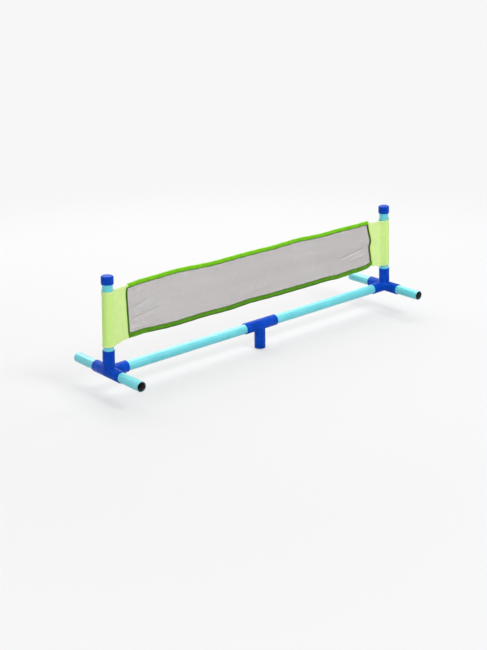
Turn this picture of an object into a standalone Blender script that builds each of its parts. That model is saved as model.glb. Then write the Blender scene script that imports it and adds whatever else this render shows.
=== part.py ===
"""Table tennis net set for a tube-frame table: two four-way connectors, a cross rail in two
halves with a tee between them, two posts with push-on caps, and the net that the posts carry.

Metres, +Z up. X runs along the net, Y across it. The origin is the middle of the cross rail's axis,
which all the side and cross sockets share. Left is -X, right is +X, front is -Y and rear is +Y.
"""

import math

import bmesh
import bpy
from mathutils import Matrix, Vector

# ---------------------------------------------------------------- driving dimensions
POST_SPACING = 0.750      # between the two connectors' centres
POST_LEAN = math.radians(2.5)  # each post leans in towards the net that pulls on it

TUBE_RADIUS = 0.0100      # outside of every rail and post
TUBE_WALL = 0.0010
FIT_GAP = 0.0003          # between a tube and its socket, and between pieces that touch

SOCKET_WALL = 0.0012
LEDGE_WIDTH = 0.0015      # step from a socket's bore down to the core behind it
LEDGE_CLEAR = 0.0012      # from the bore of the socket that crosses to each stop ledge
SIDE_DEPTH = 0.0300       # how far a side rail goes in before it meets its ledge
BRANCH_DEPTH = 0.0285     # the same for the cross rail in a connector
UPRIGHT_DEPTH = 0.0305    # for a post
TEE_DEPTH = 0.0300        # for the cross rail in the tee
LEG_DEPTH = 0.0385        # for the centre leg in the tee
RIM_ROUND = 0.0005        # outer edge of each mouth
CORNER_ROUND = 0.0010     # fillet in the corners between a moulding's arms
LEAD_IN = 0.00025         # chamfer inside each mouth

SIDE_RAIL_BARE = 0.0600   # side rail end outside its socket

CAP_WALL = 0.0015
CAP_GAP = 0.0125          # post left bare between the sleeve and the cap's lower rim
CAP_HEIGHT = 0.0165
CAP_ROUND = 0.0030
CAP_TOP_WALL = 0.0020
CAP_DOME = 0.0006         # rise of the top's middle over its edge
CAP_RIM_ROUND = 0.0004

SLEEVE_SLACK = 0.0005     # between the post and the sleeve that slides on it
CLOTH = 0.0006            # one layer of sleeve cloth
SLEEVE_DROP = 0.0035      # how much lower than the net the sleeve sits on its post
SLEEVE_TAPER = 0.0160     # from the post's side to where the two layers meet
PANEL_LENGTH = 0.0460     # from the post's axis to the seam where the panel meets the net
PANEL_RISE = 0.0070       # the panel's lower edge climbs this much towards the net

NET_RISE = 0.0110         # from the upright sockets' mouths to the net's lower edge
NET_HEIGHT = 0.1070       # over both tapes
MESH_THICKNESS = 0.0008
TAPE_HEIGHT = 0.0085
TAPE_WALL = 0.0008        # each side of a folded tape
TAPE_FOLD = 0.0014        # thickness of the tape along its fold
BINDING_WIDTH = 0.0030

ROUND_STEPS = 40          # facets round a tube, a socket or a cap
ARC_STEPS = 5             # facets across a visible rounded edge
RIM_STEPS = 2             # facets across the small rounding of a mouth or a lower rim
CORNER_STEPS = 3          # facets across a fillet between arms
CORNER_ANGLE = math.radians(50)  # corners between arms sharper than this get the fillet
SHARP_ANGLE = math.radians(30)   # edges sharper than this stay crisp in the shading
BRANCH_PHASE = 0.25       # facets of a branch or leg socket, turned by this share of a facet,
UPRIGHT_PHASE = 0.5       # and those of an upright: no edge of one arm then lies on another's

# ---------------------------------------------------------------- sizes that follow
HALF_SPACING = POST_SPACING / 2
BORE_RADIUS = TUBE_RADIUS + FIT_GAP
SOCKET_RADIUS = BORE_RADIUS + SOCKET_WALL
CORE_RADIUS = BORE_RADIUS - LEDGE_WIDTH
TUBE_BORE = TUBE_RADIUS - TUBE_WALL
LEDGE_PLACE = BORE_RADIUS + LEDGE_CLEAR  # from a moulding's centre to each of its ledges
NET_BASE_Z = LEDGE_PLACE + UPRIGHT_DEPTH + NET_RISE
NET_TOP_Z = NET_BASE_Z + NET_HEIGHT
SLEEVE_BASE_Z = NET_BASE_Z - SLEEVE_DROP
SLEEVE_TOP_Z = NET_TOP_Z - SLEEVE_DROP
SLEEVE_MEET = TUBE_RADIUS + SLEEVE_TAPER
CAP_RADIUS = BORE_RADIUS + CAP_WALL
CAP_BASE_Z = SLEEVE_TOP_Z + CAP_GAP
POST_TOP_Z = CAP_BASE_Z + CAP_HEIGHT - CAP_TOP_WALL - CAP_DOME - FIT_GAP
CUT_OVER = 0.0020         # how far a cutter runs past the face that it opens
TAPE_HALF = MESH_THICKNESS / 2 + FIT_GAP + TAPE_WALL
SIDES = {"left": -1, "right": 1}
ENDS = {"front": -1, "rear": 1}


# ---------------------------------------------------------------- materials
def make_material(name, colour, roughness, metallic=0.0):
    material = bpy.data.materials.new(name)
    material.use_nodes = True
    shader = material.node_tree.nodes["Principled BSDF"]
    shader.inputs["Base Color"].default_value = (*colour, 1.0)
    shader.inputs["Roughness"].default_value = roughness
    shader.inputs["Metallic"].default_value = metallic
    return material


def all_materials():
    return {
        "blue": make_material("blue_plastic", (0.002, 0.045, 0.480), 0.30),
        "aqua": make_material("aqua_tube", (0.170, 0.690, 0.780), 0.35),
        "lime": make_material("lime_cloth", (0.560, 0.790, 0.240), 0.85),
        "green": make_material("green_tape", (0.170, 0.520, 0.012), 0.70),
        "dark": make_material("dark_green_tape", (0.060, 0.240, 0.006), 0.75),
        "binding": make_material("binding_tape", (0.018, 0.070, 0.006), 0.80),
        "mesh": make_material("net_mesh", (0.060, 0.056, 0.058), 0.90),
    }


# ---------------------------------------------------------------- mesh helpers
def finish_object(name, mesh_data, material, smooth=True):
    """Closes a bmesh into a named object, with its faces out and its round faces smooth."""
    bmesh.ops.remove_doubles(mesh_data, verts=mesh_data.verts, dist=1e-7)
    bmesh.ops.recalc_face_normals(mesh_data, faces=mesh_data.faces)
    mesh = bpy.data.meshes.new(name)
    mesh_data.to_mesh(mesh)
    mesh_data.free()
    if smooth:
        mesh.shade_smooth()
        mesh.set_sharp_from_angle(angle=SHARP_ANGLE)
    thing = bpy.data.objects.new(name, mesh)
    bpy.context.scene.collection.objects.link(thing)
    mesh.materials.append(material)
    return thing


def turned(name, profile, material, phase=0.0):
    """A body of revolution about local Z. The profile is a list of (radius, height): a closed loop
    off the axis for a tube, or an open line that starts and ends on the axis for a solid end.
    phase turns the facets by a share of one facet."""
    mesh_data = bmesh.new()
    turn = phase * 2 * math.pi / ROUND_STEPS
    points = [
        mesh_data.verts.new((radius * math.cos(turn), radius * math.sin(turn), height))
        for radius, height in profile
    ]
    touches_axis = profile[0][0] == 0.0
    lines = [mesh_data.edges.new(pair) for pair in zip(points, points[1:])]
    if not touches_axis:
        lines.append(mesh_data.edges.new((points[-1], points[0])))
    bmesh.ops.spin(
        mesh_data, geom=points + lines, cent=(0, 0, 0), axis=(0, 0, 1),
        angle=2 * math.pi, steps=ROUND_STEPS, use_duplicate=False,
    )
    return finish_object(name, mesh_data, material)


def prism(name, outline, axis, low, high, material):
    """Extrudes a closed outline of (u, v) points along X, Y or Z between two places on that axis."""
    spread = {
        "x": lambda u, v, w: (w, u, v),
        "y": lambda u, v, w: (u, w, v),
        "z": lambda u, v, w: (u, v, w),
    }[axis]
    mesh_data = bmesh.new()
    near = [mesh_data.verts.new(spread(u, v, low)) for u, v in outline]
    far = [mesh_data.verts.new(spread(u, v, high)) for u, v in outline]
    mesh_data.faces.new(near)
    mesh_data.faces.new(far)
    for start in range(len(outline)):
        after = (start + 1) % len(outline)
        mesh_data.faces.new((near[start], near[after], far[after], far[start]))
    return finish_object(name, mesh_data, material)


def rounded_corner(centre, radius, start, end, steps):
    """Points of an arc about centre, in degrees, for a profile's rounded edge."""
    points = []
    for step in range(steps + 1):
        angle = math.radians(start + (end - start) * step / steps)
        points.append((centre[0] + radius * math.cos(angle), centre[1] + radius * math.sin(angle)))
    return points


def combine(target, other, operation):
    """Joins other to target, or cuts it away, and hides other as a construction piece."""
    change = target.modifiers.new(operation.lower() + "_" + other.name, "BOOLEAN")
    change.operation = operation
    change.solver = "EXACT"
    change.object = other
    other.hide_render = True
    other.display_type = "WIRE"


def aim(thing, place, direction):
    """Puts local Z along a direction and the local origin at a place."""
    turn = Vector((0, 0, 1)).rotation_difference(Vector(direction)).to_matrix().to_4x4()
    thing.matrix_world = Matrix.Translation(place) @ turn
    return thing


# ---------------------------------------------------------------- tubes
def tube(name, start, end, material):
    """A round tube along local Z between two heights."""
    profile = [(TUBE_BORE, start), (TUBE_RADIUS, start), (TUBE_RADIUS, end), (TUBE_BORE, end)]
    return turned(name, profile, material)


# ---------------------------------------------------------------- moulded connectors
def socket_body(name, depth, phase, material, both_ways=False):
    """The outside of one socket, or of two in line, with a rounded rim at each mouth."""
    reach = LEDGE_PLACE + depth
    rim_centre = (SOCKET_RADIUS - RIM_ROUND, reach - RIM_ROUND)
    rim = rounded_corner(rim_centre, RIM_ROUND, 0, 90, RIM_STEPS)
    profile = rim + [(0.0, reach)]
    if both_ways:
        profile = [(0.0, -reach)] + [(radius, -height) for radius, height in reversed(rim)] + profile
    else:
        profile = [(0.0, 0.0), (SOCKET_RADIUS, 0.0)] + profile
    return turned(name, profile, material, phase)


def socket_cutter(name, depth, phase, material, both_ways=False):
    """What is cored out of a socket: the lead-in, the bore down to the stop ledge, and the core."""
    reach = LEDGE_PLACE + depth
    wide = BORE_RADIUS + LEAD_IN + CUT_OVER
    profile = [
        (CORE_RADIUS, LEDGE_PLACE), (BORE_RADIUS, LEDGE_PLACE), (BORE_RADIUS, reach - LEAD_IN),
        (wide, reach + CUT_OVER), (0.0, reach + CUT_OVER),
    ]
    if both_ways:
        mirrored = [(radius, -height) for radius, height in reversed(profile)]
        profile = mirrored + profile
    else:
        profile = [(0.0, 0.0), (CORE_RADIUS, 0.0)] + profile
    return turned(name, profile, material, phase)


def fill_corners(body):
    """Runs a small fillet along the corners between the arms, out to where they fade away."""
    fillet = body.modifiers.new("corner_fillet", "BEVEL")
    fillet.width = CORNER_ROUND
    fillet.segments = CORNER_STEPS
    fillet.limit_method = "ANGLE"
    fillet.angle_limit = CORNER_ANGLE
    fillet.use_clamp_overlap = False


def moulding(name, centre, run, arms, material):
    """A connector: two sockets in line along run, which is (direction, depth), and one more for
    each (direction, depth, phase) in arms. The outsides are joined, then the cores are cut."""
    run_direction, run_depth = run
    body = socket_body(name, run_depth, 0.0, material, both_ways=True)
    aim(body, centre, run_direction)
    cutters = [socket_cutter(name + "_run_core", run_depth, 0.0, material, both_ways=True)]
    aim(cutters[0], centre, run_direction)
    for number, (direction, depth, phase) in enumerate(arms):
        arm = socket_body(f"{name}_arm_{number}", depth, phase, material)
        combine(body, aim(arm, centre, direction), "UNION")
        core = socket_cutter(f"{name}_core_{number}", depth, phase, material)
        cutters.append(aim(core, centre, direction))
    fill_corners(body)
    for cutter in cutters:
        combine(body, cutter, "DIFFERENCE")
    return body


def lean_direction(side):
    """Unit vector along a post, from its connector up and in towards the net."""
    return (-side * math.sin(POST_LEAN), 0.0, math.cos(POST_LEAN))


# ---------------------------------------------------------------- caps
def cap(name, material):
    """A push-on cap about local Z = 0 at its lower rim: skirt, rounded edge and a low dome."""
    edge_centre = (CAP_RADIUS - CAP_ROUND, CAP_HEIGHT - CAP_DOME - CAP_ROUND)
    edge = rounded_corner(edge_centre, CAP_ROUND, 0, 90, ARC_STEPS)
    ceiling = CAP_HEIGHT - CAP_TOP_WALL - CAP_DOME
    foot_centre = (CAP_RADIUS - CAP_RIM_ROUND, CAP_RIM_ROUND)
    foot = rounded_corner(foot_centre, CAP_RIM_ROUND, 270, 360, RIM_STEPS)
    inside = [(0.0, ceiling), (BORE_RADIUS, ceiling), (BORE_RADIUS, 0.0)]
    return turned(name, inside + foot + edge + [(0.0, CAP_HEIGHT)], material)


# ---------------------------------------------------------------- net
def seam_x(side, height):
    """Where the seam stands at a height. It keeps its distance from the leaning post."""
    return side * (HALF_SPACING - PANEL_LENGTH - height * math.tan(POST_LEAN))


def lean_with_post(thing, side):
    """Shears an upright solid so that every level keeps its place beside the leaning post."""
    for point in thing.data.vertices:
        point.co.x -= side * point.co.z * math.tan(POST_LEAN)


def teardrop(radius, tip, half_width, edge):
    """Outline of cloth round a post at 0, 0: an arc, then two straight runs to the points
    (tip, +/-half_width), and on to the edge where that lies further out."""
    away = math.hypot(tip, half_width)
    touch = math.atan2(half_width, tip) + math.acos(radius / away)
    steps = ROUND_STEPS - 2 * round(touch / (2 * math.pi) * ROUND_STEPS)
    outline = []
    for step in range(steps + 1):
        angle = touch + (2 * math.pi - 2 * touch) * step / steps
        outline.append((radius * math.cos(angle), radius * math.sin(angle)))
    tail = [(tip, half_width)]
    if edge > tip:
        tail = [(edge, half_width)] + tail
    if half_width > 0:
        tail = [(u, -v) for u, v in reversed(tail)] + tail
    return outline + tail


def sleeve(name, side, material):
    """The cloth tunnel round a post with its flat two-layer panel. Its lower edge climbs
    towards the net, and the whole sleeve leans with the post."""
    inner = TUBE_RADIUS + SLEEVE_SLACK
    outline = teardrop(inner + CLOTH, SLEEVE_MEET, CLOTH, PANEL_LENGTH - FIT_GAP)
    tunnel = teardrop(inner, SLEEVE_MEET - 2 * CLOTH, 0.0, 0.0)
    body = prism(name, outline, "z", SLEEVE_BASE_Z, SLEEVE_TOP_Z, material)
    cutter = prism(
        name + "_tunnel", tunnel, "z", SLEEVE_BASE_Z - CUT_OVER, SLEEVE_TOP_Z + CUT_OVER, material
    )
    for point in body.data.vertices:
        if point.co.z < (SLEEVE_BASE_Z + SLEEVE_TOP_Z) / 2 and point.co.x > inner + 2 * CLOTH:
            share = (point.co.x - SLEEVE_MEET) / (PANEL_LENGTH - SLEEVE_MEET)
            point.co.z += PANEL_RISE * max(share, 0.0)
    for thing in (body, cutter):
        for point in thing.data.vertices:
            point.co.x = side * (HALF_SPACING - point.co.x)
        lean_with_post(thing, side)
        if side > 0:
            thing.data.flip_normals()
    combine(body, cutter, "DIFFERENCE")
    return body


def folded_tape(name, edge_z, inward, material):
    """A tape folded over the net's upper or lower edge: a U along X that opens towards the net.
    inward is -1 for the top tape and +1 for the bottom one."""
    gap = MESH_THICKNESS / 2 + FIT_GAP
    fold_z = edge_z + inward * TAPE_FOLD
    open_z = edge_z + inward * TAPE_HEIGHT
    round_z = edge_z + inward * TAPE_HALF
    outline = [(gap, open_z), (TAPE_HALF, open_z)]
    for step in range(2 * ARC_STEPS + 1):
        angle = math.pi * step / (2 * ARC_STEPS)
        across = TAPE_HALF * math.cos(angle)
        outline.append((across, round_z - inward * TAPE_HALF * math.sin(angle)))
    outline += [(-TAPE_HALF, open_z), (-gap, open_z), (-gap, fold_z), (gap, fold_z)]
    body = prism(name, outline, "x", -HALF_SPACING, HALF_SPACING, material)
    for point in body.data.vertices:
        side = 1 if point.co.x > 0 else -1
        point.co.x = seam_x(side, point.co.z)
    return body


def edge_binding(name, side, low, high, material):
    """The tape folded over the net's upright edge: a U in plan, open towards the net."""
    gap = MESH_THICKNESS / 2 + FIT_GAP
    front = PANEL_LENGTH + BINDING_WIDTH
    fold = PANEL_LENGTH + TAPE_WALL
    outline = [
        (PANEL_LENGTH, -TAPE_HALF), (front, -TAPE_HALF), (front, -gap), (fold, -gap),
        (fold, gap), (front, gap), (front, TAPE_HALF), (PANEL_LENGTH, TAPE_HALF),
    ]
    body = prism(name, outline, "z", low, high, material)
    for point in body.data.vertices:
        point.co.x = side * (HALF_SPACING - point.co.x)
    lean_with_post(body, side)
    if side > 0:
        body.data.flip_normals()
    return body


def net_sheet(name, material):
    """The mesh itself, a flat sheet whose edges lie inside the tapes and the bindings."""
    low = NET_BASE_Z + TAPE_FOLD + FIT_GAP
    high = NET_TOP_Z - TAPE_FOLD - FIT_GAP
    inset = TAPE_WALL + FIT_GAP
    outline = [
        (seam_x(-1, low) + inset, low), (seam_x(1, low) - inset, low),
        (seam_x(1, high) - inset, high), (seam_x(-1, high) + inset, high),
    ]
    return prism(name, outline, "y", -MESH_THICKNESS / 2, MESH_THICKNESS / 2, material)


# ---------------------------------------------------------------- the object
def build_frame(paint):
    for word, side in SIDES.items():
        branch = ((-side, 0, 0), BRANCH_DEPTH, BRANCH_PHASE)
        upright = (lean_direction(side), UPRIGHT_DEPTH, UPRIGHT_PHASE)
        centre = (side * HALF_SPACING, 0, 0)
        moulding(
            f"{word}_connector", centre, ((0, 1, 0), SIDE_DEPTH), [branch, upright], paint["blue"]
        )
        seat = LEDGE_PLACE + FIT_GAP
        rail = tube(f"{word}_cross_rail", seat, HALF_SPACING - seat, paint["aqua"])
        aim(rail, (0, 0, 0), (side, 0, 0))
    leg = ((0, 0, -1), LEG_DEPTH, BRANCH_PHASE)
    moulding("centre_tee", (0, 0, 0), ((1, 0, 0), TEE_DEPTH), [leg], paint["blue"])


def build_side_rails(paint):
    seat = LEDGE_PLACE + FIT_GAP
    end_place = LEDGE_PLACE + SIDE_DEPTH + SIDE_RAIL_BARE
    for word, side in SIDES.items():
        for end_word, end in ENDS.items():
            rail = tube(f"{word}_{end_word}_rail", seat, end_place, paint["aqua"])
            aim(rail, (side * HALF_SPACING, 0, 0), (0, end, 0))


def build_posts(paint):
    for word, side in SIDES.items():
        post = tube(f"{word}_post", LEDGE_PLACE + FIT_GAP, POST_TOP_Z, paint["aqua"])
        aim(post, (side * HALF_SPACING, 0, 0), lean_direction(side))
        top = cap(f"{word}_cap", paint["blue"])
        top.parent = post
        top.location = (0, 0, CAP_BASE_Z)


def build_net(paint):
    anchor = bpy.data.objects.new("net", None)
    bpy.context.scene.collection.objects.link(anchor)
    low = NET_BASE_Z + TAPE_HEIGHT + FIT_GAP
    high = NET_TOP_Z - TAPE_HEIGHT - FIT_GAP
    pieces = [
        net_sheet("net_mesh", paint["mesh"]),
        folded_tape("top_tape", NET_TOP_Z, -1, paint["green"]),
        folded_tape("bottom_tape", NET_BASE_Z, 1, paint["dark"]),
    ]
    for word, side in SIDES.items():
        pieces.append(sleeve(f"{word}_sleeve", side, paint["lime"]))
        pieces.append(edge_binding(f"{word}_edge_binding", side, low, high, paint["binding"]))
    for piece in pieces:
        piece.parent = anchor


def main():
    for thing in list(bpy.data.objects):
        bpy.data.objects.remove(thing, do_unlink=True)
    paint = all_materials()
    build_frame(paint)
    build_side_rails(paint)
    build_posts(paint)
    build_net(paint)


main()
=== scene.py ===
# %% [markdown]
# # A table tennis net set, dressed on its solid model
#
# The net hangs between two posts. Each post stands in a moulded four-way connector that also
# holds two side rails, front and rear, and the cross rail that joins the connectors.
# The hard pieces come from the solid model and only need a finish. The soft ones - the mesh, its
# tapes and the cloth sleeves round the posts - are surfaces worked out with numpy, because cloth
# is thin, follows a few curves, and is easiest to steer as a function of two numbers.

import bpy
import numpy as np
from mathutils import Matrix


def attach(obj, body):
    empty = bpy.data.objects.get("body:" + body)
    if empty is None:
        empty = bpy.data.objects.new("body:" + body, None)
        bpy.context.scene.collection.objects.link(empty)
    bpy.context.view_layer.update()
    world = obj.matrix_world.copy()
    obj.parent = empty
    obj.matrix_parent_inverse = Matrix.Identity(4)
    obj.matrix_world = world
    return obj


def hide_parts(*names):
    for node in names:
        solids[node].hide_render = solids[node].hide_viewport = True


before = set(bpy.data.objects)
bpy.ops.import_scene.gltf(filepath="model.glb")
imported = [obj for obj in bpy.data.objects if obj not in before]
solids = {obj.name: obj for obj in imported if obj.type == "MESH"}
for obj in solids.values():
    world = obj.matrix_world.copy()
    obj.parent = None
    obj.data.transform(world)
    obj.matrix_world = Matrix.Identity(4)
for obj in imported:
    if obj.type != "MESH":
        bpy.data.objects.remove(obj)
bpy.context.view_layer.update()

# %% Measures that the cloth shares with the solid model, in metres
HALF_SPACING = 0.375      # from the middle of the net to a post's foot
POST_LEAN = np.radians(2.5)
TUBE_RADIUS = 0.010
SOCKET_REACH = 0.0415     # from the middle of a moulding to the mouth of a side socket
CAP_RIM = 0.1693          # height of the caps' lower rims
PANEL_LENGTH = 0.046      # from a post's axis to the seam where the panel meets the net
SLEEVE_BASE = 0.0495      # height of a sleeve's lower edge on its post
SLEEVE_TOP = 0.1565
FLOOR_HEIGHT = -0.0520    # just under the tee's downward mouth
SIDES = ("left", "right")
print("posts stand", 2 * HALF_SPACING, "m apart")

# %% [markdown]
# ## The camera
#
# The photograph was taken from the front left, a little above the net. The numbers below are the
# answer of a fit over about eighty straight edges: the heading, the downward tilt, the roll, and
# the focal length. A camera looks along its own -Z, so its axes are right, up and backwards.

# %% Place the camera
def orient(thing, right, up, back, place):
    """Sets the world matrix, whose columns are the three axes and the place."""
    matrix = np.eye(4)
    matrix[:3] = np.transpose([right, up, back, place])
    thing.matrix_world = Matrix(matrix.tolist())


def aim_camera(place, heading, tilt, roll, lens):
    """Forward is the heading turned down by the tilt; right lies level, then both turn by roll."""
    forward = np.array([
        np.cos(heading) * np.cos(tilt), np.sin(heading) * np.cos(tilt), -np.sin(tilt)
    ])
    level = np.array([np.sin(heading), -np.cos(heading), 0.0])
    upward = np.cross(level, forward)
    right = np.cos(roll) * level + np.sin(roll) * upward
    up = np.cos(roll) * upward - np.sin(roll) * level
    camera = bpy.data.objects.new("camera", bpy.data.cameras.new("camera"))
    bpy.context.scene.collection.objects.link(camera)
    orient(camera, right, up, -forward, place)
    camera.data.lens = lens
    camera.data.sensor_width = 36.0
    camera.data.clip_start, camera.data.clip_end = 0.05, 200.0
    bpy.context.scene.camera = camera
    return camera


camera = aim_camera(
    place=(-1.50759, -1.70187, 0.81736), heading=np.radians(49.302), tilt=np.radians(19.797),
    roll=np.radians(-1.003), lens=65.23,
)
print("camera lens", round(camera.data.lens, 2), "mm")

# %% [markdown]
# ## Light and room
#
# The picture has a white studio background. A soft lamp high on the camera's right is the main
# light. A wide one overhead puts the pale upper side on the tubes, because a glossy surface shows
# white where it mirrors a lamp to the eye, and a small one high on the right puts the stripe on
# the cross arms. A weak one on the left opens the shadows, and an even sky does the rest.


# %% Lamps and sky
def soft_lamp(name, place, target, size, power):
    """A square area lamp that looks from its place at a target."""
    lamp = bpy.data.lights.new(name, "AREA")
    lamp.shape, lamp.size, lamp.energy = "SQUARE", size, power
    thing = bpy.data.objects.new(name, lamp)
    bpy.context.scene.collection.objects.link(thing)
    away = np.array(place, float) - np.array(target, float)
    away /= np.linalg.norm(away)
    side = np.cross((0.0, 0.0, 1.0), away)
    side /= np.linalg.norm(side)
    orient(thing, side, np.cross(away, side), away, place)
    thing.visible_camera = False


NET_FOOT = (0.0, 0.0, 0.05)   # every lamp looks at the middle of the net's lower edge
for name, place, size, power in (
    ("key_lamp", (0.35, -2.30, 2.30), 0.8, 50.0),
    ("top_lamp", (0.35, 1.20, 1.90), 2.4, 50.0),
    ("right_lamp", (1.50, 0.15, 1.90), 0.5, 10.0),
    ("side_lamp", (-2.20, -0.60, 1.00), 1.4, 10.0),
):
    soft_lamp(name, place, NET_FOOT, size, power)
scene = bpy.context.scene
scene.view_settings.view_transform = "Standard"
scene.world = bpy.data.worlds.new("room")
scene.world.use_nodes = True
SKY_SIDE, SKY_TOP = 0.42, 0.22   # strength of the sky's light from the side and from above

# %% [markdown]
# ## Writing a finish as a formula
#
# Blender's materials are graphs of nodes. Written by hand they hide the idea, so three small
# classes let a finish be read like a formula. `Wire` holds one socket, and adding or multiplying
# wires adds the Math nodes. `Graph.node` adds any other kind of node. `Finish` is the graph of
# one material, with the few steps that all finishes below share.


# %% Wires, graphs and finishes
class Wire:
    """One output socket that takes part in formulas: each operator adds a Math node."""

    def __init__(self, graph, socket):
        self.graph, self.socket = graph, socket

    def maths(self, operation, *values):
        return self.graph.node("ShaderNodeMath", {"operation": operation}, *values)

    def __add__(self, other):
        return self.maths("ADD", self, other)

    def __sub__(self, other):
        return self.maths("SUBTRACT", self, other)

    def __rsub__(self, other):
        return self.maths("SUBTRACT", other, self)

    def __mul__(self, other):
        return self.maths("MULTIPLY", self, other)

    def __pow__(self, other):
        return self.maths("POWER", self, other)

    __radd__, __rmul__ = __add__, __mul__

    def abs(self):
        return self.maths("ABSOLUTE", self)

    def sine(self):
        return self.maths("SINE", self)

    def ramp(self, low, high):
        """0 below low, 1 above high, and a smooth step between them."""
        smooth = {"interpolation_type": "SMOOTHSTEP", "clamp": True}
        return self.graph.node("ShaderNodeMapRange", smooth, self, low, high)


class Graph:
    """A node tree under construction."""

    def __init__(self, tree):
        self.tree = tree

    def node(self, kind, settings=None, *values, out=0, **named):
        """Adds a node: its settings first, then the value or wire of each socket in turn, or by
        name with spaces written as underscores. None leaves a socket alone. Gives the chosen
        output as a Wire, or the node where out is None."""
        node = self.tree.nodes.new(kind)
        for key, value in (settings or {}).items():
            setattr(node, key, value)
        sockets = [(node.inputs[place], value) for place, value in enumerate(values)]
        sockets += [(node.inputs[key.replace("_", " ")], value) for key, value in named.items()]
        for socket, value in sockets:
            self.set(socket, value)
        return node if out is None else Wire(self, node.outputs[out])

    def set(self, socket, value):
        """Links a wire to a socket, or writes a plain value into it."""
        if isinstance(value, Wire):
            self.tree.links.new(value.socket, socket)
        elif value is not None:
            if hasattr(value, "__len__") and len(value) == 3 and socket.type == "RGBA":
                value = (*value, 1.0)
            socket.default_value = value

    def parts(self, vector):
        """The three numbers of a vector wire."""
        node = self.node("ShaderNodeSeparateXYZ", None, vector, out=None)
        return [Wire(self, out) for out in node.outputs]

    def seen_directly(self):
        """1 for what the eye, a mirror or glass shows, 0 for light that reaches a surface."""
        eye, mirror, glass = (self.node("ShaderNodeLightPath", out=place) for place in (0, 3, 6))
        return eye.maths("MAXIMUM", eye.maths("MAXIMUM", eye, mirror), glass)


class Finish(Graph):
    """A material under construction."""

    def __init__(self, name):
        self.material = bpy.data.materials.new(name)
        self.material.use_nodes = True
        super().__init__(self.material.node_tree)
        self.shader = self.tree.nodes["Principled BSDF"]

    def place(self):
        """The point on the piece in metres, as three wires and as one vector wire."""
        spot = self.node("ShaderNodeTexCoord", out=3)
        return self.parts(spot), spot

    def cut(self):
        """The point on the flat cut of the cloth, in metres along it and up it."""
        spot = self.node("ShaderNodeUVMap", {"uv_map": "cut"})
        return self.parts(spot)[:2], spot

    def noise(self, spot, scale, detail=3.0, roughness=0.5, stretch=None):
        """Smooth random values near 0.5 with scale lumps to the metre."""
        if stretch is not None:
            spot = self.node("ShaderNodeVectorMath", {"operation": "MULTIPLY"}, spot, stretch)
        return self.node(
            "ShaderNodeTexNoise", None, Vector=spot, Scale=scale, Detail=detail, Roughness=roughness
        )

    def blend(self, share, first, second):
        """Mixes two colours by a share from 0 to 1. The five sockets in between mix numbers and
        vectors."""
        colours = {"data_type": "RGBA", "clamp_factor": True}
        return self.node("ShaderNodeMix", colours, share, *[None] * 5, first, second, out=2)

    def relief(self, height, distance, strength):
        """Turns a height from 0 to 1 into a bump of that many metres."""
        normal = self.node(
            "ShaderNodeBump", None, Height=height, Distance=distance, Strength=strength
        )
        self.set(self.shader.inputs["Normal"], normal)

    def done(self, **sockets):
        """Sets the shader's own sockets and gives the material."""
        for key, value in sockets.items():
            self.set(self.shader.inputs[key.replace("_", " ")], value)
        return self.material


def dye(red, green, blue):
    """A colour as it looks on a screen, from 0 to 255, as the linear numbers a shader wants."""
    shares = np.array([red, green, blue]) / 255.0
    return tuple(np.where(shares <= 0.04045, shares / 12.92, ((shares + 0.055) / 1.055) ** 2.4))


print("mid grey in linear light:", round(dye(128, 128, 128)[0], 3))


# %% The sky and a floor that shows white to the eye and keeps the shadow
PAPER_WHITE = dye(247, 247, 247)[0]
FLOOR_REACH = 40.0                # half the side of the floor
FLOOR_GLOW = 1.09                 # strength of its glow near the net
FADE_FROM, FADE_TO = 0.60, 1.60   # distances between which the shadow gives way to plain glow


def build_sky():
    """Looked at, the sky is paper white. As light it is weaker overhead, where a lamp hangs."""
    sky = Graph(scene.world.node_tree)
    sky.tree.nodes.clear()
    height = sky.parts(sky.node("ShaderNodeTexCoord"))[2]
    light = SKY_SIDE + height.ramp(0.0, 0.9) * (SKY_TOP - SKY_SIDE)
    seen = sky.seen_directly()
    strength = seen * PAPER_WHITE + (1.0 - seen) * light
    glow = sky.node("ShaderNodeBackground", None, Color=(1.0, 1.0, 1.0), Strength=strength)
    sky.node("ShaderNodeOutputWorld", None, glow, out=None)


def build_floor():
    """A wide level sheet of paper. What the eye sees is half glow and half lit paper, so that the
    shadow stays but is soft. Further out, where no shadow falls, it is all glow. Everything but
    the eye sees plain lit paper."""
    mesh = bpy.data.meshes.new("floor")
    signs = ((-1, -1), (1, -1), (1, 1), (-1, 1))
    corners = [(x * FLOOR_REACH, y * FLOOR_REACH, FLOOR_HEIGHT) for x, y in signs]
    mesh.from_pydata(corners, [], [(0, 1, 2, 3)])
    floor = bpy.data.objects.new("floor", mesh)
    scene.collection.objects.link(floor)
    paper = Finish("paper_floor")
    paper.done(Base_Color=(0.60, 0.60, 0.60), Roughness=0.9, Specular_IOR_Level=0.0)
    (x, y, _), _ = paper.place()
    far = ((x * x + y * y) ** 0.5).ramp(FADE_FROM, FADE_TO)
    share = paper.node("ShaderNodeLightPath", out=0) * (0.50 + far * 0.50)
    strength = FLOOR_GLOW - far * (FLOOR_GLOW - PAPER_WHITE)
    glow = paper.node("ShaderNodeEmission", None, Strength=strength)
    lit = Wire(paper, paper.shader.outputs[0])
    both = paper.node("ShaderNodeMixShader", None, share, lit, glow)
    paper.set(paper.tree.nodes["Material Output"].inputs[0], both)
    mesh.materials.append(paper.material)


build_sky()
build_floor()
print("floor at", FLOOR_HEIGHT, "m")

# %% [markdown]
# ## Moulded plastic
#
# The connectors, the tee and the caps are glossy royal blue mouldings. Real mouldings aren't
# even: the gloss wanders a little, the skin has a very fine grain from the tool, and the mouths
# are scuffed where tubes go in and out.


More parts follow.
